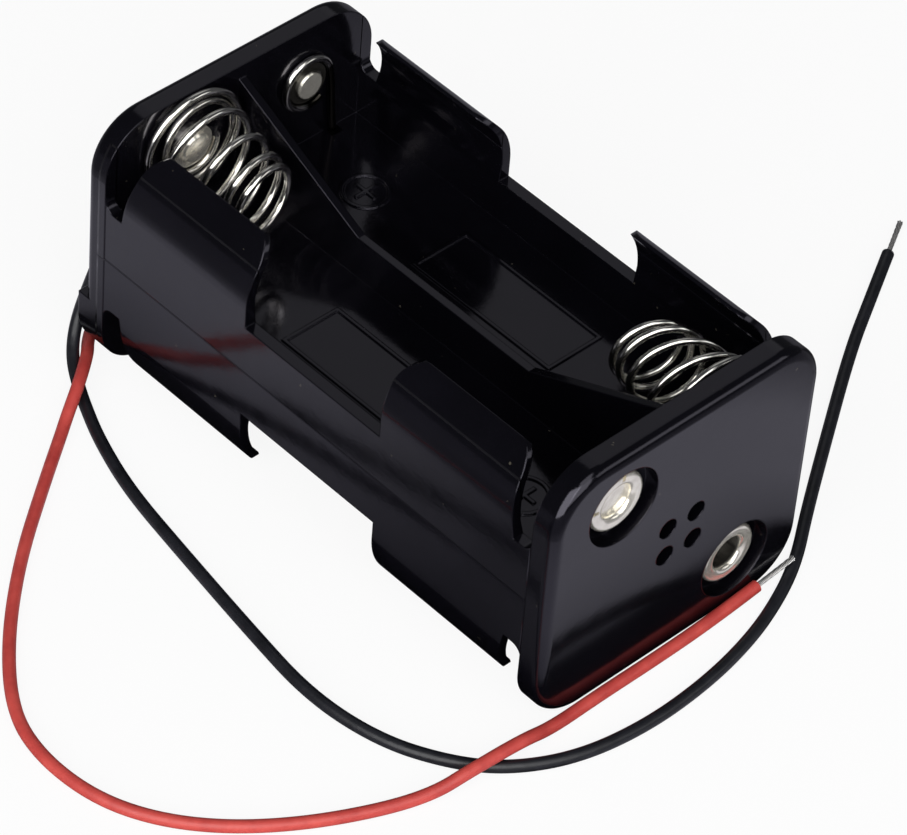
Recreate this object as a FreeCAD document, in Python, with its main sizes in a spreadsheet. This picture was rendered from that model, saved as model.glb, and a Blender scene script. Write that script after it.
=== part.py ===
import FreeCAD, Part
import math
import os
import Sketcher

# Four-cell holder: two round cells side by side in the upper tray, two in the lower one.
# Frame: X along the cells, from the plate with the leads (-X) to the far end plate (+X),
# Y across the two bays, Z up. Origin at the bottom centre of the moulding's box.

DIMENSIONS = [
    ("bay_length", 52.5, "space between the inner faces of the end plates"),
    ("plate_thickness", 2.5, "end plate"),
    ("body_width", 30.5, "end plates, across"),
    ("body_height", 27.4, "end plates, upright"),
    ("plate_corner", 5.2, "corner radius of an end plate's outline"),
    ("plate_edge", 1.0, "rounding of an end plate's outer edge"),
    ("pad_depth", 0.9, "thicker lower part of the lead-side plate"),
    ("pad_height", 7.7, "its top edge above the base"),
    ("pad_edge", 0.35, "its rounding"),
    ("cell_pitch", 15.0, "between cell axes side by side"),
    ("deck_pitch", 15.7, "between the upper and the lower cell axis"),
    ("floor_thickness", 1.5, "floor between the upper and lower trays"),
    ("rib_thickness", 0.8, "rib between neighbouring bays"),
    ("rib_low", 5.05, "rib's low middle above mid-height"),
    ("rib_high", 12.3, "rib's height at the end plates above mid-height"),
    ("rib_flat", 21.0, "length of the rib's low middle"),
    ("wall_thickness", 1.2, "side wall"),
    ("wall_inset", 0.08, "plate edge standing proud of the side wall"),
    ("wall_low", 5.0, "side wall's low edge above mid-height"),
    ("notch_width", 2.1, "notch between a tab and its plate"),
    ("notch_rise", 5.6, "bottom of the notch above mid-height"),
    ("notch_round", 1.1, "rounding in the notch beside the plate"),
    ("tab_gap", 16.6, "gap between the two tabs of one side"),
    ("tab_taper", 1.3, "how far a tab's edge beside the plate leans away from it"),
    ("bend_rise", 6.9, "centre of a tab's bend above mid-height"),
    ("bend_radius", 7.1, "outer radius of a tab's bend"),
    ("tab_thickness", 0.95, "tab at the foot of its bend"),
    ("tab_tip", 0.35, "tab at its tip"),
    ("tip_angle", 57.0, "how far a tab wraps round, degrees"),
    ("tab_corner", 2.3, "rounded corners of a tab"),
    ("contact_offset", 7.45, "contact rivets from the middle plane"),
    ("lead_contact_offset", 5.7, "rivet of the upper lead from the middle plane"),
    ("recess_radius", 3.85, "round recess behind a contact rivet"),
    ("recess_depth", 1.4, "its depth"),
    ("shank_radius", 1.9, "rivet shank"),
    ("shank_clearance", 0.05, "round the shank in its hole"),
    ("flange_radius", 2.1, "rivet's flange inside the bay"),
    ("flange_thickness", 0.4, "its thickness"),
    ("head_radius", 1.5, "contact face"),
    ("head_height", 0.9, "contact face above the plate"),
    ("head_bevel", 0.2, "bevel round the contact face"),
    ("roll_radius", 2.95, "rolled end of the rivet, outside"),
    ("roll_height", 0.75, "its height in the recess"),
    ("roll_lip", 2.15, "inner edge of its flat top, where it curves into the hollow"),
    ("bore_radius", 1.6, "hollow of the shank"),
    ("bore_floor", 0.4, "metal left below the hollow"),
    ("shallow_floor", 1.2, "the same for the rivet with a shallow bowl"),
    ("split_width", 0.35, "splits in that rivet's rolled end"),
    ("split_reach", 2.2, "their inner end from the rivet's axis"),
    ("split_depth", 0.5, "how deep they cut"),
    ("upper_split", 81.0, "place of one split, degrees"),
    ("lower_split", 173.0, "place of the other, degrees"),
    ("vent_radius", 0.98, "four small holes in the plain end plate"),
    ("vent_pitch_across", 3.26, "between them, across"),
    ("vent_pitch_up", 3.14, "between them, upright"),
    ("mark_radius", 2.3, "round polarity mark on the floor"),
    ("mark_line", 0.36, "width of a mark's line"),
    ("mark_height", 0.15, "how far the marks stand up"),
    ("mark_bar", 2.53, "length of a mark's bars"),
    ("mark_place", 17.9, "polarity marks from the middle of the bay"),
    ("outline_length", 17.0, "cell outline on the floor"),
    ("outline_width", 6.4, "its width"),
    ("wire_diameter", 0.7, "contact spring wire"),
    ("seat_gap", 0.05, "between a spring's end coil and its plate"),
    ("base_radius", 5.05, "spring's widest coil"),
    ("tip_radius", 3.05, "spring's narrowest coil"),
    ("ring_radius", 2.56, "end of the wire round a rivet"),
    ("slot_clearance", 0.3, "round the wire where it passes a rib or the floor"),
    ("lead_diameter", 1.15, "insulated lead"),
    ("core_diameter", 0.5, "its stranded core"),
    ("stripped_length", 4.5, "bare end of a lead"),
    ("lead_rise", 0.02, "a lying lead above the surface it lies on"),
    ("solder_radius", 2.4, "solder joint on a rivet's rolled end"),
    ("solder_height", 0.8, "its height above the rolled end"),
]

doc = FreeCAD.newDocument("cell_holder")
sheet = doc.addObject("Spreadsheet::Sheet", "sheet")
for row, (alias, value, note) in enumerate(DIMENSIONS, start=1):
    sheet.set(f"A{row}", alias)
    sheet.set(f"B{row}", str(value))
    sheet.set(f"C{row}", note)
    sheet.setAlias(f"B{row}", alias)
doc.recompute()


class Size:
    """A length with its present value and the sheet expression that gives it."""

    def __init__(self, value, text):
        self.value = float(value)
        self.text = text

    def __add__(self, other):
        other = as_size(other)
        return Size(self.value + other.value, f"({self.text} + {other.text})")

    def __radd__(self, other):
        return as_size(other) + self

    def __sub__(self, other):
        other = as_size(other)
        return Size(self.value - other.value, f"({self.text} - {other.text})")

    def __rsub__(self, other):
        return as_size(other) - self

    def __mul__(self, other):
        other = as_size(other)
        return Size(self.value * other.value, f"({self.text} * {other.text})")

    def __rmul__(self, other):
        return as_size(other) * self

    def __truediv__(self, other):
        other = as_size(other)
        return Size(self.value / other.value, f"({self.text} / {other.text})")

    def __neg__(self):
        return self * -1


def as_size(number):
    """Takes a plain number as a Size too."""
    if isinstance(number, Size):
        return number
    return Size(number, f"({number})")


def cosine(angle):
    """Cosine of a Size in degrees."""
    return Size(math.cos(math.radians(angle.value)), f"cos({angle.text} * 1 deg)")


def sine(angle):
    """Sine of a Size in degrees."""
    return Size(math.sin(math.radians(angle.value)), f"sin({angle.text} * 1 deg)")


size = {alias: Size(sheet.get(alias), f"sheet.{alias}") for alias, value, note in DIMENSIONS}

# Places that several pieces share
mid_x = size["pad_depth"] / 2
mid_z = size["body_height"] / 2
half_bay = size["bay_length"] / 2
near_inner = mid_x + half_bay
far_inner = mid_x - half_bay
near_outer = near_inner + size["plate_thickness"]
far_outer = far_inner - size["plate_thickness"]
pad_outer = far_outer - size["pad_depth"]
half_width = size["body_width"] / 2
wall_outer = half_width - size["wall_inset"]
wall_inner = wall_outer - size["wall_thickness"]
axis_y = size["cell_pitch"] / 2
upper_z = mid_z + size["deck_pitch"] / 2
lower_z = mid_z - size["deck_pitch"] / 2
floor_half = size["floor_thickness"] / 2
web = size["plate_thickness"] - size["recess_depth"]
wire_radius = size["wire_diameter"] / 2
seat = wire_radius + size["seat_gap"]


def bind(item, **sizes):
    """Ties an object's properties to the sheet."""
    for name, value in sizes.items():
        item.setExpression(name, as_size(value).text)


def place(item, x, y, z):
    """Ties an object's position to the sheet."""
    for axis, value in (("x", x), ("y", y), ("z", z)):
        value = as_size(value)
        setattr(item.Placement.Base, axis, value.value)
        item.setExpression(f"Placement.Base.{axis}", value.text)


def block(name, x_from, x_to, y_from, y_to, z_from, z_to):
    """A box between six bound planes."""
    item = doc.addObject("Part::Box", name)
    bind(item, Length=x_to - x_from, Width=y_to - y_from, Height=z_to - z_from)
    place(item, x_from, y_from, z_from)
    return item


def rod(name, radius, x_from, x_to, y, z):
    """A cylinder along X."""
    item = doc.addObject("Part::Cylinder", name)
    bind(item, Radius=radius, Height=x_to - x_from)
    item.Placement.Rotation = FreeCAD.Rotation(FreeCAD.Vector(0, 1, 0), 90)
    place(item, x_from, y, z)
    return item


def post(name, radius, z_from, z_to, x, y):
    """An upright cylinder."""
    item = doc.addObject("Part::Cylinder", name)
    bind(item, Radius=radius, Height=z_to - z_from)
    place(item, x, y, z_from)
    return item


def join(name, pieces):
    """One solid of several that meet."""
    item = doc.addObject("Part::MultiFuse", name)
    item.Shapes = pieces
    item.Refine = True
    return item


def cut(name, base, tool):
    """The base without the tool."""
    item = doc.addObject("Part::Cut", name)
    item.Base = base
    item.Tool = tool
    return item


def overlap(name, pieces):
    """What several solids share."""
    item = doc.addObject("Part::MultiCommon", name)
    item.Shapes = pieces
    return item


def pin_point(sketch, geometry, corner, point):
    """Ties one end of a sketch curve to bound coordinates."""
    for kind, value in zip(("DistanceX", "DistanceY"), point):
        number = sketch.addConstraint(Sketcher.Constraint(kind, geometry, corner, value.value))
        sketch.setExpression(f"Constraints[{number}]", value.text)


def outline(sketch, path):
    """Draws a closed outline of lines, ("line", start), and arcs, ("arc", start, centre,
    radius, anticlockwise), each running to the next one's start."""
    count = len(path)
    for index, piece in enumerate(path):
        start = tuple(as_size(value) for value in piece[1])
        end = tuple(as_size(value) for value in path[(index + 1) % count][1])
        start_point = FreeCAD.Vector(start[0].value, start[1].value, 0)
        end_point = FreeCAD.Vector(end[0].value, end[1].value, 0)
        if piece[0] == "line":
            geometry = sketch.addGeometry(Part.LineSegment(start_point, end_point))
            pin_point(sketch, geometry, 1, start)
            pin_point(sketch, geometry, 2, end)
            continue
        centre = tuple(as_size(value) for value in piece[2])
        radius = as_size(piece[3])
        centre_point = FreeCAD.Vector(centre[0].value, centre[1].value, 0)
        first, last = (start_point, end_point) if piece[4] else (end_point, start_point)
        angles = [math.atan2(p.y - centre_point.y, p.x - centre_point.x) for p in (first, last)]
        if angles[1] < angles[0]:
            angles[1] += 2 * math.pi
        circle = Part.Circle(centre_point, FreeCAD.Vector(0, 0, 1), radius.value)
        geometry = sketch.addGeometry(Part.ArcOfCircle(circle, *angles))
        pin_point(sketch, geometry, 3, centre)
        number = sketch.addConstraint(Sketcher.Constraint("Radius", geometry, radius.value))
        sketch.setExpression(f"Constraints[{number}]", radius.text)


def rounded_outline(corners):
    """An outline of straight edges, each corner given with its rounding."""
    path = []
    count = len(corners)
    for index, (across, up, radius) in enumerate(corners):
        before = corners[index - 1]
        after = corners[(index + 1) % count]
        across, up = as_size(across), as_size(up)
        if as_size(radius).value == 0:
            path.append(("line", (across, up)))
            continue
        step_in = unit_step(before, corners[index])
        step_out = unit_step(corners[index], after)
        turn = step_in[0] * step_out[1] - step_in[1] * step_out[0]
        way = 1 if as_size(turn).value > 0 else -1
        reach = radius * (way * turn / (step_in[0] * step_out[0] + step_in[1] * step_out[1] + 1))
        entry = (across - reach * step_in[0], up - reach * step_in[1])
        leave = (across + reach * step_out[0], up + reach * step_out[1])
        centre = (entry[0] - radius * way * step_in[1], entry[1] + radius * way * step_in[0])
        path.append(("arc", entry, centre, radius, way > 0))
        path.append(("line", leave))
    return path


def unit_step(start, end):
    """Direction of an edge: whole numbers where it is level or upright."""
    across = as_size(end[0]) - start[0]
    up = as_size(end[1]) - start[1]
    length = math.hypot(across.value, up.value)
    if min(abs(across.value), abs(up.value)) < 1e-9:
        return round(across.value / length), round(up.value / length)
    length = Size(length, f"hypot({across.text}; {up.text})")
    return across / length, up / length


def extruded(name, direction, start, length, path):
    """An outline in the YZ or XZ plane, extruded along X or Y from a bound place."""
    sketch = doc.addObject("Sketcher::SketchObject", f"{name}_outline")
    if direction == "X":
        sketch.Placement = FreeCAD.Placement(FreeCAD.Vector(), FreeCAD.Rotation(90, 0, 90))
        place(sketch, start, 0, 0)
    else:
        sketch.Placement = FreeCAD.Placement(FreeCAD.Vector(), FreeCAD.Rotation(0, 0, 90))
        place(sketch, 0, start, 0)
    outline(sketch, path)
    item = doc.addObject("Part::Extrusion", name)
    item.Base = sketch
    item.DirMode = "Custom"
    item.Dir = FreeCAD.Vector(1, 0, 0) if direction == "X" else FreeCAD.Vector(0, 1, 0)
    item.Solid = True
    bind(item, LengthFwd=length)
    return item


def plane_of(body, role):
    """One of a body's own origin planes."""
    return next(item for item in body.Origin.OriginFeatures if item.Role == role)


def slab(name, x_from, x_to, z_to, edge, rounded_x, corner_bottom_only=False):
    """A rounded plate across X, its outer edge rounded all round."""
    body = doc.addObject("PartDesign::Body", name)
    sketch = body.newObject("Sketcher::SketchObject", f"{name}_outline")
    sketch.AttachmentSupport = [(plane_of(body, "YZ_Plane"), "")]
    sketch.MapMode = "FlatFace"
    corner = size["plate_corner"]
    top = 0 if corner_bottom_only else corner
    outline(sketch, rounded_outline([
        (-half_width, 0, corner),
        (half_width, 0, corner),
        (half_width, z_to, top),
        (-half_width, z_to, top),
    ]))
    pad = body.newObject("PartDesign::Pad", f"{name}_pad")
    pad.Profile = sketch
    bind(pad, Length=x_to - x_from)
    place(body, x_from, 0, 0)
    doc.recompute()
    across = (rounded_x - x_from).value
    edges = [f"Edge{i}" for i, curve in enumerate(pad.Shape.Edges, start=1)
             if all(abs(v.Point.x - across) < 1e-6 for v in curve.Vertexes)]
    fillet = body.newObject("PartDesign::Fillet", f"{name}_fillet")
    fillet.Base = (pad, edges)
    bind(fillet, Radius=edge)
    body.Tip = fillet
    return body


# Housing: end plates
near_plate = slab("near_plate", near_inner, near_outer, size["body_height"], size["plate_edge"], near_outer)
far_plate = slab("far_plate", far_outer, far_inner, size["body_height"], size["plate_edge"], far_outer)
pad = slab("lead_pad", pad_outer, far_inner, size["pad_height"], size["pad_edge"], pad_outer, True)

# Housing: side walls with their tabs, the outline across the bay cut by the outline along it
bend_y = wall_outer - size["bend_radius"]
bend_inner = size["bend_radius"] - size["tab_thickness"]
tip_inner = size["bend_radius"] - size["tab_tip"]
tip_cos = cosine(size["tip_angle"])
tip_sin = sine(size["tip_angle"])
thinning = (tip_inner * tip_inner - bend_inner * bend_inner) / (2 * (bend_inner - tip_inner * tip_cos))


def wall_section(side):
    """Section of a side wall: upright, with a hook that thins towards its tip above and below."""
    hooks = []
    for rise in (1, -1):
        centre = (side * bend_y, mid_z + rise * size["bend_rise"])
        hooks.append({
            "centre": centre,
            "outer": (side * wall_outer, centre[1]),
            "outer_tip": (centre[0] + side * size["bend_radius"] * tip_cos,
                          centre[1] + rise * size["bend_radius"] * tip_sin),
            "inner_centre": (centre[0] - side * thinning, centre[1]),
            "inner_tip": (centre[0] + side * tip_inner * tip_cos,
                          centre[1] + rise * tip_inner * tip_sin),
            "inner": (centre[0] + side * bend_inner, centre[1]),
            "wall": (side * wall_inner, mid_z + rise * size["wall_low"]),
        })
    top, bottom = hooks
    out = side > 0
    return [
        ("arc", top["outer"], top["centre"], size["bend_radius"], out),
        ("line", top["outer_tip"]),
        ("arc", top["inner_tip"], top["inner_centre"], bend_inner + thinning, not out),
        ("line", top["inner"]),
        ("line", top["wall"]),
        ("line", bottom["wall"]),
        ("arc", bottom["inner"], bottom["inner_centre"], bend_inner + thinning, not out),
        ("line", bottom["inner_tip"]),
        ("arc", bottom["outer_tip"], bottom["centre"], size["bend_radius"], out),
        ("line", bottom["outer"]),
    ]


def wall_silhouette():
    """Side wall seen from the side: two tabs up, two down, notches beside the plates."""
    tab_from = size["tab_gap"] / 2
    tab_to = half_bay - size["notch_width"]
    tab_top = size["bend_rise"] + size["bend_radius"] * tip_sin
    corner = size["tab_corner"]
    rounded = size["notch_round"]
    quarter = [
        (half_bay, size["notch_rise"], rounded),
        (tab_to, size["notch_rise"], 0),
        (tab_to - size["tab_taper"], tab_top, corner),
        (tab_from, tab_top, corner),
        (tab_from, size["wall_low"], 0),
    ]
    upper = quarter + [(-across, up, radius) for across, up, radius in reversed(quarter)]
    lower = [(across, -up, radius) for across, up, radius in reversed(upper)]
    ends = size["plate_thickness"] / 2
    corners = [(half_bay + ends, size["notch_rise"] + 2 * rounded, 0),
               (half_bay, size["notch_rise"] + 2 * rounded, 0)]
    corners += upper
    corners += [(-across, up, radius) for across, up, radius in reversed(corners[:2])]
    mirrored = [(across, -up, radius) for across, up, radius in reversed(corners)]
    return [(mid_x + across, mid_z + up, radius) for across, up, radius in corners + mirrored]


walls = []
silhouette = rounded_outline(wall_silhouette())
for side, label in ((-1, "left"), (1, "right")):
    section = extruded(f"wall_section_{label}", "X", far_inner - size["plate_thickness"] / 2,
                       size["bay_length"] + size["plate_thickness"], wall_section(side))
    start = -half_width if side < 0 else as_size(0)
    screen = extruded(f"wall_screen_{label}", "Y", start, half_width, silhouette)
    walls.append(overlap(f"wall_{label}", [section, screen]))

# Housing: floor between the trays and the rib between the bays
overlap_x = size["plate_thickness"] / 2
floor = block("floor", far_inner - overlap_x, near_inner + overlap_x,
              -(wall_inner + size["wall_thickness"] / 2), wall_inner + size["wall_thickness"] / 2,
              mid_z - floor_half, mid_z + floor_half)
rib_path = []
for across, up in ((-1, -1), (1, -1), (1, 1), (-1, 1)):
    low = ("line", (mid_x + across * size["rib_flat"] / 2, mid_z + up * size["rib_low"]))
    high = ("line", (mid_x + across * half_bay, mid_z + up * size["rib_high"]))
    deep = ("line", (mid_x + across * (half_bay + overlap_x), mid_z + up * size["rib_high"]))
    if across * up > 0:
        rib_path += [deep, high, low]
    else:
        rib_path += [low, high, deep]
rib = extruded("rib", "Y", -size["rib_thickness"] / 2, size["rib_thickness"], rib_path)

# Housing: raised polarity marks and a plain cell outline on both faces of the floor
marks = []
for face, rise in (("top", 1), ("under", -1)):
    surface = mid_z + rise * floor_half
    low = surface if rise > 0 else surface - size["mark_height"]
    high = low + size["mark_height"]
    root = low - floor_half / 4 if rise > 0 else low
    head = high if rise > 0 else high + floor_half / 4
    for side in (-1, 1):
        toward_plus = -side * rise
        bay_y = side * axis_y
        line = size["mark_line"]
        for sign, label in ((1, "plus"), (-1, "minus")):
            x = mid_x + toward_plus * sign * size["mark_place"]
            name = f"{label}_{face}_{'left' if side < 0 else 'right'}"
            ring = cut(f"{name}_ring",
                       post(f"{name}_disc", size["mark_radius"], root, head, x, bay_y),
                       post(f"{name}_hole", size["mark_radius"] - line, root, head, x, bay_y))
            reach = size["mark_bar"] / 2
            marks.append(ring)
            marks.append(block(f"{name}_bar", x - line / 2, x + line / 2, bay_y - reach, bay_y + reach,
                               root, head))
            if sign > 0:
                marks.append(block(f"{name}_cross", x - reach, x + reach, bay_y - line / 2, bay_y + line / 2,
                                   root, head))
        name = f"outline_{face}_{'left' if side < 0 else 'right'}"
        half_long = size["outline_length"] / 2
        half_wide = size["outline_width"] / 2
        marks.append(cut(name,
                         block(f"{name}_out", mid_x - half_long, mid_x + half_long,
                               bay_y - half_wide, bay_y + half_wide, root, head),
                         block(f"{name}_in", mid_x - half_long + line, mid_x + half_long - line,
                               bay_y - half_wide + line, bay_y + half_wide - line, root, head)))

# Contact rivets: the end plate that carries each, its place across and its height
rivets = {
    "rivet_minus_lead": ("far", -size["lead_contact_offset"], upper_z),
    "rivet_far_upper": ("far", size["contact_offset"], upper_z),
    "rivet_plus_lead": ("far", -size["contact_offset"], lower_z),
    "rivet_near_upper": ("near", -size["contact_offset"], upper_z),
    "rivet_near_lower": ("near", size["contact_offset"], lower_z),
}

holes = []
for name, (end, y, z) in rivets.items():
    if end == "near":
        holes.append(rod(f"{name}_recess", size["recess_radius"], near_inner + web,
                         near_outer + size["pad_depth"], y, z))
        holes.append(rod(f"{name}_hole", size["shank_radius"] + size["shank_clearance"],
                         near_inner - web, near_outer, y, z))
    else:
        holes.append(rod(f"{name}_recess", size["recess_radius"], pad_outer - size["pad_depth"],
                         far_inner - web, y, z))
        holes.append(rod(f"{name}_hole", size["shank_radius"] + size["shank_clearance"],
                         far_outer, far_inner + web, y, z))
for across in (-1, 1):
    for up in (-1, 1):
        holes.append(rod(f"vent_{across}_{up}".replace("-", "m"), size["vent_radius"],
                         near_inner - web, near_outer + web,
                         across * size["vent_pitch_across"] / 2, mid_z + up * size["vent_pitch_up"] / 2))


# Contact springs: each is one wire. It starts as a ring round a rivet, crosses to the
# seat of its own spring in the plate's plane, and rises from there as a narrowing coil.
RISES = (0.0, 1.45, 4.6, 7.4, 8.7, 10.0)  # height of the coil after each turn
STEPS_PER_TURN = 18
NARROWING = 1.75  # how soon the coil narrows
RING_SWEEP = 300  # degrees of wire round a neighbour's rivet
SEAT_TURNS = 1.5  # turns of the seat of a spring on its own rivet
LINK_STEPS = 4  # points on the straight link between a ring and a seat

# Seats of the coils: how far inward of the cell's axis, how far above it
spring_centre = {
    "upper_left": (-(axis_y - 1.7), upper_z + 1.15),
    "upper_right": (axis_y - 1.5, upper_z + 0.29),
    "lower_right": (axis_y - 0.9, lower_z - 0.1),
    "lower_left": (-(axis_y - 0.9), lower_z - 0.1),
}
spring_centre = {name: (y.value, z.value) for name, (y, z) in spring_centre.items()}


def cone_turn(turn, base_radius, tip_radius):
    """Radius and rise of the coil after a number of turns."""
    whole = min(int(turn), len(RISES) - 2)
    rise = RISES[whole] + (turn - whole) * (RISES[whole + 1] - RISES[whole])
    share = 1 - turn / (len(RISES) - 1)
    return tip_radius + (base_radius - tip_radius) * max(share, 0) ** NARROWING, rise


def arc_points(centre, radius, start, end, off):
    """Points along a flat arc, from one angle to another, without its last."""
    count = max(2, math.ceil(abs(end - start) / 360 * STEPS_PER_TURN))
    points = []
    for step in range(count):
        angle = math.radians(start + (end - start) * step / count)
        points.append((off, centre[0] + radius * math.cos(angle), centre[1] + radius * math.sin(angle)))
    return points


def coil_points(centre, start, spin, lean, drift):
    """Points of the narrowing coil, from its seat to its free end."""
    base_radius = size["base_radius"].value
    points = []
    turns = len(RISES) - 1
    for step in range(turns * STEPS_PER_TURN + 1):
        turn = step / STEPS_PER_TURN
        radius, rise = cone_turn(turn, base_radius, size["tip_radius"].value)
        angle = math.radians(start + spin * 360 * turn)
        tilt = min(turn / 2, 1) * radius * (lean[0] * math.cos(angle) + lean[1] * math.sin(angle))
        points.append((seat.value + rise + tilt,
                       centre[0] + drift[0] * rise + radius * math.cos(angle),
                       centre[1] + drift[1] * rise + radius * math.sin(angle)))
    return points


def tangent_angle(ring, base, spin):
    """Angle at which a wire leaves the ring for the wider seat coil, turning one way."""
    across, up = base[0] - ring[0], base[1] - ring[1]
    distance = math.hypot(across, up)
    widening = size["base_radius"].value - size["ring_radius"].value
    offset = math.degrees(math.acos(-widening / distance))
    return math.degrees(math.atan2(up, across)) - spin * offset


def linked_wire(ring, base, spin, start, lean, drift):
    """Wire of a spring whose end ring sits on a neighbour's rivet, and where it crosses."""
    leave = tangent_angle(ring, base, spin)
    while spin * (start - leave) < 0:
        start += spin * 360
    while spin * (start - leave) > 360:
        start -= spin * 360
    off = seat.value
    points = arc_points(ring, size["ring_radius"].value, leave - spin * RING_SWEEP, leave, off)
    angle = math.radians(leave)
    ends = [(off, centre[0] + radius * math.cos(angle), centre[1] + radius * math.sin(angle))
            for centre, radius in ((ring, size["ring_radius"].value), (base, size["base_radius"].value))]
    for step in range(LINK_STEPS):
        points.append(tuple(a + step / LINK_STEPS * (b - a) for a, b in zip(*ends)))
    points += arc_points(base, size["base_radius"].value, leave, start, off)
    return points + coil_points(base, start, spin, lean, drift), ends


def own_wire(ring, base, spin, start, lean, drift):
    """Wire of a spring that sits on its own rivet: its seat spirals in to the rivet."""
    count = int(SEAT_TURNS * STEPS_PER_TURN)
    points = []
    for step in range(count):
        share = step / count
        ease = share * share * (3 - 2 * share)
        radius = size["ring_radius"].value + ease * (size["base_radius"].value - size["ring_radius"].value)
        angle = math.radians(start - spin * 360 * SEAT_TURNS * (1 - share))
        points.append((seat.value,
                       ring[0] + ease * (base[0] - ring[0]) + radius * math.cos(angle),
                       ring[1] + ease * (base[1] - ring[1]) + radius * math.sin(angle)))
    return points + coil_points(base, start, spin, lean, drift)


def place_of(name):
    """A rivet's axis across and up."""
    return rivets[name][1].value, rivets[name][2].value


def wire_solid(end, points):
    """Round wire along points that are given off the plate's inner face."""
    face, away = (near_inner.value, -1) if end == "near" else (far_inner.value, 1)
    vectors = [FreeCAD.Vector(face + away * off, y, z) for off, y, z in points]
    curve = Part.BSplineCurve()
    curve.interpolate(vectors)
    path = Part.Wire([curve.toShape()])
    start, direction = curve.value(curve.FirstParameter), curve.tangent(curve.FirstParameter)[0]
    ring = Part.Wire([Part.makeCircle(wire_radius.value, start, direction)])
    sweep = Part.BRepOffsetAPI.MakePipeShell(path)
    sweep.setBiNormalMode(FreeCAD.Vector(1, 0, 0))
    sweep.add(ring, False, False)
    sweep.build()
    sweep.makeSolid()
    return sweep.shape()


# Way round, angle at which the coil leaves its seat, tilt of its turns and drift per rise
springs = {}
links = {}
springs["spring_minus_lead"] = ("far", own_wire(
    place_of("rivet_minus_lead"), spring_centre["upper_left"], -1, 180, (-0.19, 0.09), (0, -0.077)))
for name, end, rivet, base, spin, start, lean, drift in (
        ("spring_upper_right", "near", "rivet_near_upper", "upper_right", 1, 0, (-0.4, 0.05), (0.17, -0.11)),
        ("spring_lower_right", "far", "rivet_far_upper", "lower_right", -1, 180, (0.05, 0.05), (0, 0)),
        ("spring_lower_left", "near", "rivet_near_lower", "lower_left", 1, 180, (0.05, -0.05), (0, 0))):
    points, links[name] = linked_wire(place_of(rivet), spring_centre[base], spin, start, lean, drift)
    springs[name] = (end, points)

# Slots for the wires that cross a rib or the floor beside a plate
slot_reach = seat + wire_radius + size["slot_clearance"]
slot_half = wire_radius + size["slot_clearance"]


def crossing(name, axis, level):
    """Where a spring's straight link passes a level plane or the middle plane."""
    start, end = links[name]
    share = (level - start[axis]) / (end[axis] - start[axis])
    other = 3 - axis
    return start[other] + share * (end[other] - start[other])


for name in ("spring_upper_right", "spring_lower_left"):
    z = as_size(round(crossing(name, 1, 0.0), 3))
    holes.append(block(f"{name}_slot", near_inner - slot_reach, near_inner, -size["rib_thickness"],
                       size["rib_thickness"], z - slot_half, z + slot_half))
y = as_size(round(crossing("spring_lower_right", 2, mid_z.value), 3))
holes.append(block("spring_lower_right_slot", far_inner, far_inner + slot_reach, y - slot_half, y + slot_half,
                   mid_z - size["floor_thickness"], mid_z + size["floor_thickness"]))

shell = join("housing_shell", [near_plate, far_plate, pad, floor, rib] + walls + marks)
housing = cut("housing", shell, join("housing_cuts", holes))

for name, (end, points) in springs.items():
    spring = doc.addObject("Part::Feature", name)
    spring.Shape = wire_solid(end, points)


# Contact rivets, drawn off the plate's inner face: + into the bay, - through the plate
def rivet_path(floor):
    """Half section of a semi-tubular rivet: distance off the plate, radius."""
    recess = -web
    roll_top = recess - size["roll_height"]
    rounding = (size["roll_radius"] - size["roll_lip"]) / 2
    flare = size["roll_lip"] - size["bore_radius"]
    return [
        ("line", (size["head_height"], 0)),
        ("line", (size["head_height"], size["head_radius"] - size["head_bevel"])),
        ("line", (size["head_height"] - size["head_bevel"], size["head_radius"])),
        ("line", (size["flange_thickness"], size["head_radius"])),
        ("line", (size["flange_thickness"], size["flange_radius"])),
        ("line", (0, size["flange_radius"])),
        ("line", (0, size["shank_radius"])),
        ("line", (recess, size["shank_radius"])),
        ("line", (recess, size["roll_radius"])),
        ("arc", (roll_top + rounding, size["roll_radius"]),
         (roll_top + rounding, size["roll_radius"] - rounding), rounding, True),
        ("line", (roll_top, size["roll_lip"] + rounding)),
        ("arc", (roll_top, size["roll_lip"]), (roll_top + flare, size["roll_lip"]), flare, True),
        ("line", (roll_top + flare, size["bore_radius"])),
        ("line", (-floor, size["bore_radius"])),
        ("line", (-floor, 0)),
    ]


def turned(name, path, end, y, z):
    """A body turned about a contact's axis, standing off one of the end plates."""
    body = doc.addObject("PartDesign::Body", name)
    sketch = body.newObject("Sketcher::SketchObject", f"{name}_section")
    sketch.AttachmentSupport = [(plane_of(body, "XY_Plane"), "")]
    sketch.MapMode = "FlatFace"
    outline(sketch, path)
    turn = body.newObject("PartDesign::Revolution", f"{name}_turn")
    turn.Profile = sketch
    turn.ReferenceAxis = (sketch, ["H_Axis"])
    turn.Angle = 360
    body.Placement.Rotation = FreeCAD.Rotation(FreeCAD.Vector(0, 0, 1), 180 if end == "near" else 0)
    place(body, near_inner if end == "near" else far_inner, y, z)
    return body


def split_cut(name, rivet_y, rivet_z, angle):
    """A narrow notch through the rim of a rolled end that faces +X, at an angle round its axis."""
    half = size["split_width"] / 2
    item = doc.addObject("Part::Box", name)
    bind(item, Length=size["split_depth"] * 2, Width=size["roll_radius"], Height=size["split_width"])
    item.Placement.Rotation = FreeCAD.Rotation(FreeCAD.Vector(1, 0, 0), angle.value)
    item.setExpression("Placement.Rotation.Angle", angle.text)
    place(item, near_inner + web + size["roll_height"] - size["split_depth"],
          rivet_y + size["split_reach"] * cosine(angle) + half * sine(angle),
          rivet_z + size["split_reach"] * sine(angle) - half * cosine(angle))
    return item


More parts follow.
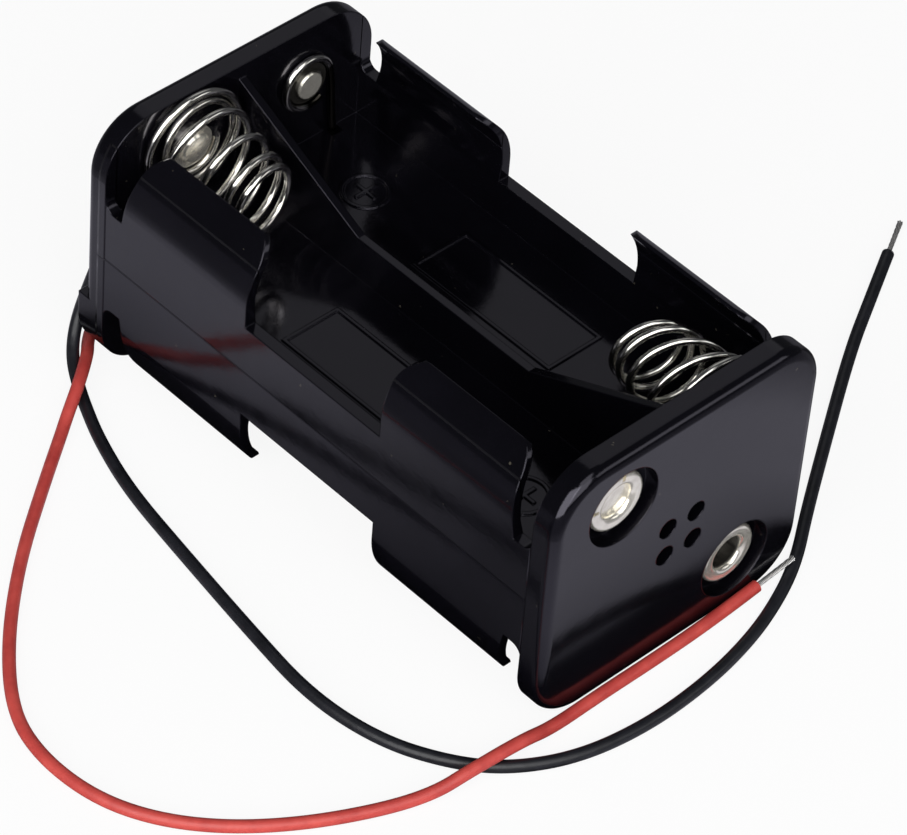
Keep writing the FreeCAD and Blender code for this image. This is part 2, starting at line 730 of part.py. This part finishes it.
for name, (end, y, z) in rivets.items():
    if name != "rivet_near_upper":
        turned(name, rivet_path(size["bore_floor"]), end, y, z)
        continue
    blank = turned(f"{name}_blank", rivet_path(size["shallow_floor"]), end, y, z)
    splits = [split_cut(f"{name}_{label}", y, z, size[label]) for label in ("upper_split", "lower_split")]
    cut(name, blank, join(f"{name}_splits", splits))

# Solder joints: low mounds on the rolled ends of the two rivets that carry the leads
SOLDER_SHOULDER = (0.5, 0.82)  # share of the mound's height, share of its radius
SOLDER_CROWN = (0.85, 0.45)
solder_foot = -(web + size["roll_height"])
solder_path = [
    ("line", (solder_foot - size["solder_height"], 0)),
    ("line", (solder_foot, 0)),
    ("line", (solder_foot, size["solder_radius"])),
]
for up, out in (SOLDER_SHOULDER, SOLDER_CROWN):
    solder_path.append(("line", (solder_foot - size["solder_height"] * up, size["solder_radius"] * out)))
solder_joints = {
    "solder_minus": turned("solder_minus", solder_path, *rivets["rivet_minus_lead"]),
    "solder_plus": turned("solder_plus", solder_path, *rivets["rivet_plus_lead"]),
}

# Leads: soldered outside the far plate, round its left edge, and loosely on the surface
lying = size["lead_diameter"].value / 2 + size["lead_rise"].value
RED_ROUTE = [
    (-29.95, -7.8, 4.3), (-30.3, -8.1, 2.5), (-30.5, -9.1, 1.15), (-30.5, -10.7, 0.66), (-30.2, -12.7, 0.62),
    (-28.9, -14.15, 0.85), (-27.45, -15.4, 1.5), (-25.9, -17.1, 2.05), (-24.2, -19.3, 2.05),
    (-22.9, -21.5, 1.1), (-21.5, -23.5, 0.65),
    (-18.35, -27.8, lying), (-12.45, -35.5, lying), (-5.95, -42.2, lying), (0.35, -46.9, lying),
    (5.55, -48.3, lying), (11.45, -47.9, lying), (16.35, -45.8, lying), (20.75, -42.1, lying),
    (24.55, -37.0, lying), (27.6, -31.0, lying), (29.3, -26.6, 0.95), (30.0, -23.4, 1.95),
    (30.3, -17.8, 1.95), (30.1, -14.2, 0.75), (29.9, -8.6, lying), (29.95, -1.6, lying),
    (29.9, 5.0, 0.72), (29.8, 10.2, 1.17),
]
BLACK_ROUTE = [
    (-29.15, -6.9, 19.6), (-29.3, -8.4, 16.6), (-29.6, -10.3, 13.0), (-29.9, -11.9, 9.4),
    (-30.05, -13.3, 6.0), (-30.1, -14.25, 3.5), (-29.3, -15.5, 1.95), (-27.85, -16.75, 1.05),
    (-26.0, -17.8, lying), (-23.4, -19.15, lying), (-19.15, -21.05, lying), (-12.85, -23.0, lying),
    (-4.75, -24.3, lying), (5.95, -25.9, lying), (14.65, -27.0, lying), (22.05, -25.9, lying),
    (27.45, -23.1, lying), (31.05, -19.8, lying), (33.8, -14.5, lying), (34.9, -7.6, lying),
    (34.6, -0.2, lying), (33.4, 6.2, lying), (31.55, 11.4, lying), (29.4, 15.6, lying),
    (26.1, 20.2, lying), (21.75, 26.7, lying), (14.5, 37.7, lying), (10.95, 44.0, lying),
    (7.7, 49.8, lying),
]


def smooth_path(points):
    """Straight runs joined by tangent arcs as wide as the runs allow, with their radii."""
    vectors = [FreeCAD.Vector(*point) for point in points]
    edges = []
    radii = []
    last = vectors[0]
    for before, corner, after in zip(vectors, vectors[1:], vectors[2:]):
        back, ahead = before - corner, after - corner
        reach = 0.45 * min(back.Length, ahead.Length)
        half_turn = (math.pi - back.getAngle(ahead)) / 2
        radius = reach / math.tan(half_turn)
        back.normalize()
        ahead.normalize()
        entry, leave = corner + back * reach, corner + ahead * reach
        inward = back + ahead
        inward.normalize()
        middle = corner + inward * (radius / math.cos(half_turn) - radius)
        edges.append(Part.LineSegment(last, entry).toShape())
        edges.append(Part.Arc(entry, middle, leave).toShape())
        radii.append(radius)
        last = leave
    edges.append(Part.LineSegment(last, vectors[-1]).toShape())
    return Part.Wire(edges), radii


def tube(path, start, direction, diameter):
    """Round bar along a path."""
    ring = Part.Wire([Part.makeCircle(diameter / 2, start, direction)])
    return path.makePipeShell([ring], True, False)


def bare_end(tip, direction, length):
    """Stripped strands that go straight on from a lead's end."""
    return Part.makeCylinder(size["core_diameter"].value / 2, length, tip, direction)


for name, route, joint in (("red_lead", RED_ROUTE, "solder_plus"), ("black_lead", BLACK_ROUTE, "solder_minus")):
    path, radii = smooth_path(route)
    first, second = FreeCAD.Vector(*route[0]), FreeCAD.Vector(*route[1])
    last, beside = FreeCAD.Vector(*route[-1]), FreeCAD.Vector(*route[-2])
    diameter = size["lead_diameter"].value
    lead = doc.addObject("Part::Feature", name)
    lead.Shape = tube(path, first, second - first, diameter)
    expected = math.pi * diameter ** 2 / 4 * path.Length
    print(name, "length", round(path.Length, 1), "volume ratio", round(lead.Shape.Volume / expected, 4))
    print(name, "radii", [round(radius, 1) for radius in radii])
    tip = doc.addObject("Part::Feature", f"{name}_tip")
    tip.Shape = bare_end(last, last - beside, size["stripped_length"].value)
    doc.recompute()
    foot = solder_joints[joint].Shape
    heart = foot.BoundBox.Center
    strand = doc.addObject("Part::Feature", f"{name}_strands")
    strand.Shape = bare_end(first, heart - first, (heart - first).Length).cut(foot)

doc.recompute()

# Every sub-part under its node's name
NODES = ["housing"] + list(springs) + list(rivets) + list(solder_joints)
for name in ("red_lead", "black_lead"):
    NODES += [name, f"{name}_tip", f"{name}_strands"]

for item in doc.Objects:
    if "Invalid" in item.State or "Error" in item.State:
        raise RuntimeError(f"{item.Name} has failed: {item.State}")
parts = {}
for name in NODES:
    item = doc.getObject(name)
    item.Label = name
    if item.Shape.isNull() or not item.Shape.isValid():
        raise RuntimeError(f"{name} has no valid shape")
    if len(item.Shape.Solids) != 1:
        raise RuntimeError(f"{name} has {len(item.Shape.Solids)} solids")
    parts[name] = item.Shape

os.makedirs("parts", exist_ok=True)
for name, shape in parts.items():
    shape.exportStep(f"parts/{name}.step")
    print(name, round(shape.Volume, 2))
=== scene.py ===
import math

import bpy
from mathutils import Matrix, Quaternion, Vector


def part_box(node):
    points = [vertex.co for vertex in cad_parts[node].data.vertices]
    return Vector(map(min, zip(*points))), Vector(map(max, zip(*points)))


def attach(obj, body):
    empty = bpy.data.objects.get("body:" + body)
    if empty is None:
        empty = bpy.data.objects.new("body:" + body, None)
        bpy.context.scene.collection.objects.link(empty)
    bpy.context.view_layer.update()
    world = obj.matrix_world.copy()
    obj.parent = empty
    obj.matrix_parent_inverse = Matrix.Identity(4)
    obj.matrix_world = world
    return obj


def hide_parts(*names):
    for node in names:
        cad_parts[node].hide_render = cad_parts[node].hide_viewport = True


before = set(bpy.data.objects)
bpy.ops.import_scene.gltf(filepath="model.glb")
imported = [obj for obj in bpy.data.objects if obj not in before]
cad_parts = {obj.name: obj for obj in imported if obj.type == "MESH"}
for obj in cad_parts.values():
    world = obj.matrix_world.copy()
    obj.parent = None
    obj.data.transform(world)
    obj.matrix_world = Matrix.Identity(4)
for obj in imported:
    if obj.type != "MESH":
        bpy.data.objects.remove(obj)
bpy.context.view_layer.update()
MM = 0.001


def placed(name, data):
    """A new object in the scene."""
    piece = bpy.data.objects.new(name, data)
    bpy.context.scene.collection.objects.link(piece)
    return piece


# Camera, at the photograph's viewing angle
CAMERA_PLACE = Vector((0.2211667, -0.2316165, 0.3168510))
CAMERA_AIM = Vector((0.0044165, -0.0019867, 0.0094195))
CAMERA_ROLL = math.radians(5.178)

camera_data = bpy.data.cameras.new("camera")
camera_data.sensor_width = 36
camera_data.lens = 206.5
camera_data.clip_start = 0.01
camera = placed("camera", camera_data)
camera.location = CAMERA_PLACE
camera.rotation_mode = "QUATERNION"
level_view = (CAMERA_AIM - CAMERA_PLACE).to_track_quat("-Z", "Y")
camera.rotation_quaternion = level_view @ Quaternion((0, 0, 1), CAMERA_ROLL)
bpy.context.scene.camera = camera

# Leads: the same routes as the solids they stand for, in millimetres, each from its solder joint
# to its bare end
LEAD_DIAMETER = 1.15 * MM
FLOOR_GAP = 0.02
LYING = LEAD_DIAMETER / 2 / MM + FLOOR_GAP
RED_ROUTE = [
    (-29.95, -7.8, 4.3), (-30.3, -8.1, 2.5), (-30.5, -9.1, 1.15), (-30.5, -10.7, 0.66),
    (-30.2, -12.7, 0.62), (-28.9, -14.15, 0.85), (-27.45, -15.4, 1.5), (-25.9, -17.1, 2.05),
    (-24.2, -19.3, 2.05), (-22.9, -21.5, 1.1), (-21.5, -23.5, 0.65), (-18.35, -27.8, LYING),
    (-12.45, -35.5, LYING), (-5.95, -42.2, LYING), (0.35, -46.9, LYING), (5.55, -48.3, LYING),
    (11.45, -47.9, LYING), (16.35, -45.8, LYING), (20.75, -42.1, LYING), (24.55, -37.0, LYING),
    (27.6, -31.0, LYING), (29.3, -26.6, 0.95), (30.0, -23.4, 1.95), (30.3, -17.8, 1.95),
    (30.1, -14.2, 0.75), (29.9, -8.6, LYING), (29.95, -1.6, LYING), (29.9, 5.0, 0.72),
    (29.8, 10.2, 1.17),
]
BLACK_ROUTE = [
    (-29.15, -6.9, 19.6), (-29.3, -8.4, 16.6), (-29.6, -10.3, 13.0), (-29.9, -11.9, 9.4),
    (-30.05, -13.3, 6.0), (-30.1, -14.25, 3.5), (-29.3, -15.5, 1.95), (-27.85, -16.75, 1.05),
    (-26.0, -17.8, LYING), (-23.4, -19.15, LYING), (-19.15, -21.05, LYING),
    (-12.85, -23.0, LYING), (-4.75, -24.3, LYING), (5.95, -25.9, LYING), (14.65, -27.0, LYING),
    (22.05, -25.9, LYING), (27.45, -23.1, LYING), (31.05, -19.8, LYING), (33.8, -14.5, LYING),
    (34.9, -7.6, LYING), (34.6, -0.2, LYING), (33.4, 6.2, LYING), (31.55, 11.4, LYING),
    (29.4, 15.6, LYING), (26.1, 20.2, LYING), (21.75, 26.7, LYING), (14.5, 37.7, LYING),
    (10.95, 44.0, LYING), (7.7, 49.8, LYING),
]

# Bare ends
CORE_DIAMETER = 0.5 * MM
STRIPPED = 4.5 * MM
OUTER_STRANDS = 6
STRAND_POINTS = 10
STRAND_RADIUS = CORE_DIAMETER / 6.1
STRAND_PITCH_RADIUS = CORE_DIAMETER / 3
STRAND_TURNS = 1.1
STRAND_LOOSENESS = 0.25
STRAND_SUNK = 0.3 * MM


def round_curve(name, bevel_steps, steps):
    """A curve without lines yet, whose points carry their true radius."""
    curve = bpy.data.curves.new(name, "CURVE")
    curve.dimensions = "3D"
    curve.bevel_depth = 1
    curve.bevel_resolution = bevel_steps
    curve.resolution_u = steps
    curve.use_fill_caps = True
    return curve


def add_line(curve, places, radius):
    """A smooth line in a curve, from the first place to the last."""
    spline = curve.splines.new("NURBS")
    spline.points.add(len(places) - 1)
    for point, place in zip(spline.points, places):
        point.co = (*place, 1)
        point.radius = radius
    spline.order_u = 3
    spline.use_endpoint_u = True


def lead(name, route):
    """A lead as a smooth round tube along its route."""
    curve = round_curve(name, bevel_steps=7, steps=10)
    add_line(curve, [[value * MM for value in place] for place in route], LEAD_DIAMETER / 2)
    piece = placed(name, curve)
    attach(piece, "root")
    return piece


def strands(name, route):
    """The bare end of a lead: strands twisted round a straight one, a little loose at the cut."""
    start = Vector(route[-1]) * MM
    along = (Vector(route[-1]) - Vector(route[-2])).normalized()
    side = along.cross(Vector((0, 0, 1))).normalized()
    up = side.cross(along)
    curve = round_curve(name, bevel_steps=3, steps=6)
    for strand in range(OUTER_STRANDS + 1):
        off_centre = 0 if strand == 0 else STRAND_PITCH_RADIUS
        places = []
        for index in range(STRAND_POINTS):
            share = index / (STRAND_POINTS - 1)
            angle = math.tau * (strand / OUTER_STRANDS + share * STRAND_TURNS)
            spread = off_centre * (1 + STRAND_LOOSENESS * share ** 3)
            reach = share * STRIPPED if index else -STRAND_SUNK
            around = math.cos(angle) * side + math.sin(angle) * up
            places.append(start + along * reach + spread * around)
        add_line(curve, places, STRAND_RADIUS)
    piece = placed(name, curve)
    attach(piece, "root")
    return piece


red = lead("red_cord", RED_ROUTE)
black = lead("black_cord", BLACK_ROUTE)
red_end = strands("red_bare_end", RED_ROUTE)
black_end = strands("black_bare_end", BLACK_ROUTE)
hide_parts("red_lead")
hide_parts("black_lead")
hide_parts("red_lead_tip")
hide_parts("black_lead_tip")


class Tree:
    """The nodes of a material or a world, and short ways to add to them.

    A source is another node's output, a number, or a colour of three numbers.
    """

    def __init__(self, owner):
        owner.use_nodes = True
        self.nodes, self.links = owner.node_tree.nodes, owner.node_tree.links

    def feed(self, socket, source):
        """Gives a socket its source."""
        if isinstance(source, bpy.types.NodeSocket):
            self.links.new(source, socket)
        elif isinstance(source, tuple):
            socket.default_value = (*source, 1)
        else:
            socket.default_value = source

    def add(self, kind, **sources):
        """A new node, with sources for the sockets of those names."""
        node = self.nodes.new(f"ShaderNode{kind}")
        for name, source in sources.items():
            self.feed(node.inputs[name], source)
        return node

    def math(self, operation, *sources, clamp=False):
        """A value worked out from others."""
        node = self.add("Math")
        node.operation = operation
        node.use_clamp = clamp
        for socket, source in zip(node.inputs, sources):
            self.feed(socket, source)
        return node.outputs[0]

    def noise(self, scale, detail, roughness=0.5):
        """Noise in the object's own coordinates; scale is in features a metre."""
        place = self.add("TexCoord").outputs["Object"]
        node = self.add("TexNoise", Vector=place, Scale=scale, Detail=detail, Roughness=roughness)
        return node.outputs["Fac"]

    def ramp(self, source, *stops):
        """A ramp on a value, through stops of a position and a colour or a grey level."""
        node = self.add("ValToRGB", Fac=source)
        elements = node.color_ramp.elements
        while len(elements) < len(stops):
            elements.new(0.5)
        for element, (position, shade) in zip(elements, stops):
            element.position = position
            element.color = (*(shade if isinstance(shade, tuple) else (shade,) * 3), 1)
        return node.outputs["Color"]

    def mixed(self, share, first, second):
        """One colour turning into another."""
        return self.add("MixRGB", Fac=share, Color1=first, Color2=second).outputs[0]

    def relief(self, height, distance, **before):
        """A surface's direction under a relief of a height in metres, over one before it."""
        return self.add("Bump", Height=height, Distance=distance, **before).outputs["Normal"]

    def axes(self):
        """The object's own coordinates, one value an axis."""
        place = self.add("TexCoord").outputs["Object"]
        return self.add("SeparateXYZ", Vector=place).outputs

    def past(self, source, edge, width):
        """0 before an edge and 1 past it, softly over a width; a negative one turns it round."""
        return self.math("MULTIPLY_ADD", source, 1 / width, 0.5 - edge / width, clamp=True)

    def past_all(self, *edges):
        """The share that lies past every one of some edges."""
        share = self.past(*edges[0])
        for edge in edges[1:]:
            share = self.math("MULTIPLY", share, self.past(*edge))
        return share

    def off_axis(self, y, z, middle_y, middle_z):
        """The distance from a line along the holder."""
        squares = []
        for source, middle in ((y, middle_y), (z, middle_z)):
            off = self.math("SUBTRACT", source, middle)
            squares.append(self.math("MULTIPLY", off, off))
        return self.math("SQRT", self.math("ADD", *squares))

    def blend(self, output, share, first, second):
        """Turns one shader into another at the tree's output."""
        mix = self.add("MixShader")
        for socket, source in zip(mix.inputs, (share, first, second)):
            self.links.new(source, socket)
        self.links.new(mix.outputs[0], self.nodes[output].inputs["Surface"])


class Surface(Tree):
    """A material whose uniform numbers sit on the shader itself."""

    def __init__(self, name, colour, roughness, metallic=0.0, specular=0.5):
        self.material = bpy.data.materials.new(name)
        super().__init__(self.material)
        self.shader = self.nodes["Principled BSDF"]
        self.set("Base Color", colour)
        self.set("Roughness", roughness)
        self.set("Metallic", metallic)
        self.set("Specular IOR Level", specular)

    def set(self, name, source):
        """Gives one of the shader's sockets its source."""
        self.feed(self.shader.inputs[name], source)


# Outer walls: where they begin across and end along the holder, the groove of their parting
# line, and how far they lean in for each metre away from it
WALL_FACE = 14 * MM
WALL_END = 26.6 * MM
GROOVE_HALF_WIDTH = 0.07 * MM
GROOVE_SIDE = 0.06 * MM
GROOVE_DEPTH = 0.03 * MM
DRAFT_SLOPE = 0.03

# Reliefs, in metres from lowest to highest
FINE_RELIEF = 0.004 * MM
BROAD_RELIEF = 0.04 * MM
GRAIN_RELIEF = 0.002 * MM
WIRE_RELIEF = 0.0012 * MM
SLEEVE_RELIEF = 0.02 * MM
EDGE_RADIUS = 0.18 * MM

# Colours
PLASTIC_MEAN = (0.003, 0.0028, 0.0042)
PLASTIC_DARK = (0.0012, 0.0011, 0.0019)
PLASTIC_LIGHT = (0.0026, 0.0024, 0.004)
PLASTIC_SHINE = (0.87, 0.84, 1)
DUST = (0.05, 0.045, 0.035)
SPRING_NICKEL = (0.88, 0.86, 0.81)
RIVET_NICKEL = (0.96, 0.92, 0.82)
TIN = (0.86, 0.85, 0.83)
SOLDER = (0.55, 0.55, 0.55)
# Painted shade on the spring link and on the rivets
PAINTED_SHADE_COLOUR = (0.02, 0.018, 0.015)
RED_DARK, RED_LIGHT = (0.43, 0.043, 0.038), (0.6, 0.078, 0.064)
BLACK_DARK, BLACK_LIGHT = (0.005, 0.0055, 0.0075), (0.014, 0.0145, 0.019)


def plastic():
    """Black glossy moulded plastic, faintly uneven and dusty, with rounded edges."""
    surface = Surface("black_plastic", PLASTIC_MEAN, 0.16)
    surface.set("Specular Tint", PLASTIC_SHINE)
    broad = surface.noise(scale=90, detail=3)
    shade = surface.ramp(broad, (0.3, PLASTIC_DARK), (0.75, PLASTIC_LIGHT))
    dusty = surface.ramp(surface.noise(scale=1300, detail=2), (0.76, 0), (0.785, 1))
    surface.set("Base Color", surface.mixed(dusty, shade, DUST))
    smooth = surface.noise(scale=700, detail=5, roughness=0.6)
    surface.set("Roughness", surface.ramp(smooth, (0.25, 0.09), (0.8, 0.16)))

    rounded = surface.add("Bevel", Radius=EDGE_RADIUS)
    rounded.samples = 6
    fine = surface.noise(scale=2600, detail=3)
    normal = surface.relief(fine, FINE_RELIEF, Normal=rounded.outputs["Normal"])
    normal = surface.relief(broad, BROAD_RELIEF, Normal=normal)

    # The outer walls lean in from the parting line, which is a fine groove at mid height
    x, y, z = surface.axes()
    low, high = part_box("housing")
    off_middle = surface.math("ABSOLUTE", surface.math("SUBTRACT", z, (low[2] + high[2]) / 2))
    outer = surface.past_all((surface.math("ABSOLUTE", y), WALL_FACE, 0.1 * MM),
                             (surface.math("ABSOLUTE", x), WALL_END, -0.2 * MM))
    lean = surface.math("MULTIPLY", off_middle, outer)
    normal = surface.relief(lean, DRAFT_SLOPE, Normal=normal)
    beside_groove = surface.past(off_middle, GROOVE_HALF_WIDTH, GROOVE_SIDE)
    groove = surface.math("MULTIPLY", beside_groove, outer)
    surface.set("Normal", surface.relief(groove, GROOVE_DEPTH, Normal=normal))
    return surface.material


def centre(node):
    """The middle of a node's box."""
    low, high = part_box(node)
    return [(a + b) / 2 for a, b in zip(low, high)]


def link_painted_shade(surface):
    """Painted shade: darkens the straight link below the far contact and the end of its ring,
    standing in for the shade they sit in.
    """
    x, y, z = surface.axes()
    _, ring_y, ring_z = centre("rivet_far_upper")
    at_contact = (x, -24 * MM, -1 * MM), (z, 14.5 * MM, 0.2 * MM)
    link = surface.past_all(*at_contact, (z, ring_z + 1.2 * MM, -0.8 * MM),
                            (y, ring_y + 2.0 * MM, 0.5 * MM))
    ring_end = surface.past_all(*at_contact, (z, ring_z - 1.5 * MM, -0.6 * MM),
                                (y, ring_y - 0.3 * MM, 0.6 * MM))
    return surface.math("MAXIMUM", link, ring_end)


def rivet_painted_shade(surface):
    """Painted shade: darkens the lower rivet's bore at its bottom, and the far contact's face at
    its rim.
    """
    x, y, z = surface.axes()
    normal = surface.add("NewGeometry").outputs["True Normal"]
    facing_out = surface.add("SeparateXYZ", Vector=normal).outputs[0]
    _, middle_y, middle_z = centre("rivet_near_lower")
    radius = surface.off_axis(y, z, middle_y - 0.2 * MM, middle_z - 0.1 * MM)
    bore = surface.past_all((radius, 1.85 * MM, -0.2 * MM), (x, 28.2 * MM, -0.5 * MM),
                            (x, 27 * MM, 0.1 * MM), (facing_out, -0.5, 0.2))
    _, middle_y, middle_z = centre("rivet_far_upper")
    radius = surface.off_axis(y, z, middle_y - 0.15 * MM, middle_z + 0.1 * MM)
    rim = surface.past_all((radius, 1.3 * MM, 0.12 * MM), (radius, 2.4 * MM, -0.2 * MM),
                           (x, -20 * MM, -1 * MM), (x, -26.6 * MM, 0.2 * MM))
    return surface.math("MULTIPLY", surface.math("MAXIMUM", bore, rim), 0.95)


def metal(name, colour, roughness, grain, metallic=1.0, relief=GRAIN_RELIEF, painted_shade=None):
    """Bright plated metal with a faint grain; the last argument gives the share of painted dark
    shade.
    """
    surface = Surface(name, colour, roughness, metallic)
    darker = tuple(level * 0.86 for level in colour)
    shade = surface.ramp(surface.noise(scale=grain, detail=3), (0.3, darker), (0.6, colour))
    # Painted shade: a dark colour mixed in where the mask says
    if painted_shade:
        shade = surface.mixed(painted_shade(surface), shade, PAINTED_SHADE_COLOUR)
    surface.set("Base Color", shade)
    smooth = surface.noise(scale=grain * 2.3, detail=3)
    surface.set("Roughness", surface.ramp(smooth, (0.3, roughness * 0.8), (0.75, roughness * 1.25)))
    surface.set("Normal", surface.relief(surface.noise(scale=grain * 3, detail=2), relief))
    return surface.material


def insulation(name, dark, light, roughness):
    """Extruded soft insulation: faint mottling and a slight unevenness."""
    surface = Surface(name, light, roughness, specular=0.45)
    tone = surface.noise(scale=420, detail=4, roughness=0.6)
    surface.set("Base Color", surface.ramp(tone, (0.3, dark), (0.7, light)))
    fine = surface.noise(scale=1500, detail=3)
    surface.set("Roughness", surface.ramp(fine, (0.3, roughness * 0.85), (0.75, roughness * 1.2)))
    surface.set("Normal", surface.relief(fine, SLEEVE_RELIEF))
    return surface.material


black_plastic = plastic()
spring_metal = metal("spring_nickel", SPRING_NICKEL, 0.17, grain=1500, relief=WIRE_RELIEF,
                     painted_shade=link_painted_shade)
rivet_metal = metal("rivet_nickel", RIVET_NICKEL, 0.2, grain=1100, metallic=0.78,
                    painted_shade=rivet_painted_shade)
solder_metal = metal("solder_tin", SOLDER, 0.35, grain=900)
strand_metal = metal("tinned_strands", TIN, 0.35, grain=2000)
red_sleeve = insulation("red_insulation", RED_DARK, RED_LIGHT, 0.42)
black_sleeve = insulation("black_insulation", BLACK_DARK, BLACK_LIGHT, 0.36)

# The material of each node, by the first of these that its name starts with
NODE_MATERIALS = (
    ("housing", black_plastic),
    ("spring", spring_metal),
    ("rivet", rivet_metal),
    ("solder", solder_metal),
    ("red_lead_", strand_metal),
    ("black_lead_", strand_metal),
    ("red_lead", red_sleeve),
    ("black_lead", black_sleeve),
)


def dress(piece, material):
    """Gives a piece one material."""
    slots = piece.material_slots
    if len(slots) == 0:
        piece.data.materials.append(material)
    for entry in slots:
        entry.material = material


for name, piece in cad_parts.items():
    dress(piece, next(material for start, material in NODE_MATERIALS if name.startswith(start)))
dress(red, red_sleeve)
dress(black, black_sleeve)
dress(red_end, strand_metal)
dress(black_end, strand_metal)

# Floor: white to the camera; reflections see a painted glow on it, darkened close to the holder and
# to one side as a painted shadow of the holder
FLOOR_HALF = 3
HOLDER_HALF_LENGTH = 29.5 * MM
HOLDER_HALF_WIDTH = 15.5 * MM
REFLECTED_REACH = 40 * MM
REFLECTED_LENGTH = 100 * MM
REFLECTED_BY_DISTANCE = ((0.0, 0.01), (0.1, 0.02), (0.14, 0.45), (0.27, 0.66), (0.46, 0.7),
                         (0.62, 0.36), (1.0, 0.2))
REFLECTED_BY_SIDE = ((0.28, 0.85), (0.62, 0.24), (0.78, 0.26), (0.84, 1))
REFLECTED_COLOUR = (0.86, 0.845, 0.96)
WHITE_SHARE = 0.9

mesh = bpy.data.meshes.new("floor")
mesh.from_pydata([(-FLOOR_HALF, -FLOOR_HALF, 0), (FLOOR_HALF, -FLOOR_HALF, 0),
                  (FLOOR_HALF, FLOOR_HALF, 0), (-FLOOR_HALF, FLOOR_HALF, 0)], [], [(0, 1, 2, 3)])
floor = placed("floor", mesh)

surface = Surface("floor", (0.9, 0.9, 0.9), 0.9, specular=0.1)
place = surface.axes()
squares = []
for axis, half in ((0, HOLDER_HALF_LENGTH), (1, HOLDER_HALF_WIDTH)):
    beyond = surface.math("SUBTRACT", surface.math("ABSOLUTE", place[axis]), half)
    squares.append(surface.math("POWER", surface.math("MAXIMUM", beyond, 0.0), 2.0))
distance = surface.math("SQRT", surface.math("ADD", *squares))
# Painted shadow: the reflected glow darkens close to the holder and towards one side
near = surface.ramp(surface.math("MULTIPLY", distance, 1 / REFLECTED_REACH),
                    *REFLECTED_BY_DISTANCE)
side = surface.ramp(surface.math("MULTIPLY_ADD", place[0], 1 / REFLECTED_LENGTH, 0.5),
                    *REFLECTED_BY_SIDE)
mirrored = surface.ramp(surface.math("MULTIPLY", near, side), (0, 0), (1, REFLECTED_COLOUR))
path = surface.add("LightPath")
seen = path.outputs["Is Camera Ray"]
glow = surface.add("Emission", Color=surface.mixed(seen, mirrored, (1, 1, 1)))
glow_share = surface.math("MAXIMUM", surface.math("MULTIPLY", seen, WHITE_SHARE),
                          path.outputs["Is Glossy Ray"])
surface.blend("Material Output", glow_share, surface.shader.outputs[0], glow.outputs[0])
dress(floor, surface.material)

# World: dim on the holder and white to the camera
world = bpy.data.worlds.new("studio")
bpy.context.scene.world = world
sky = Tree(world)
studio = sky.nodes["Background"]
sky.feed(studio.inputs["Color"], (0.92, 0.94, 1))
sky.feed(studio.inputs["Strength"], 0.06)
white = sky.add("Background", Strength=1)
seen = sky.add("LightPath").outputs["Is Camera Ray"]
sky.blend("World Output", seen, studio.outputs[0], white.outputs[0])

# Lamps: place, point aimed at, width, height and power
LAMPS = {
    "key": ((0.305, -0.653, 0.46), (0, 0, 0.01), 0.9, 0.9, 8.5),
    "front": ((0.8, -0.2, 0.5), (0, 0, 0.01), 0.75, 0.6, 2.8),
    "top": ((0.38, -0.08, 0.78), (0, 0, 0.01), 0.45, 0.5, 1.1),
    "edge": ((0.63, 0.47, 0.44), (0.03, 0, 0.02), 0.45, 0.3, 0.5),
    "back": ((-0.5, 0.53, 0.7), (0, 0, 0.01), 0.6, 0.6, 0.33),
}
for name, (place, aim, width, height, power) in LAMPS.items():
    data = bpy.data.lights.new(name, "AREA")
    data.shape = "RECTANGLE"
    data.size = width
    data.size_y = height
    data.energy = power
    lamp = placed(name, data)
    lamp.location = place
    lamp.rotation_euler = (Vector(aim) - Vector(place)).to_track_quat("-Z", "Y").to_euler()

bpy.context.scene.view_settings.view_transform = "Standard"
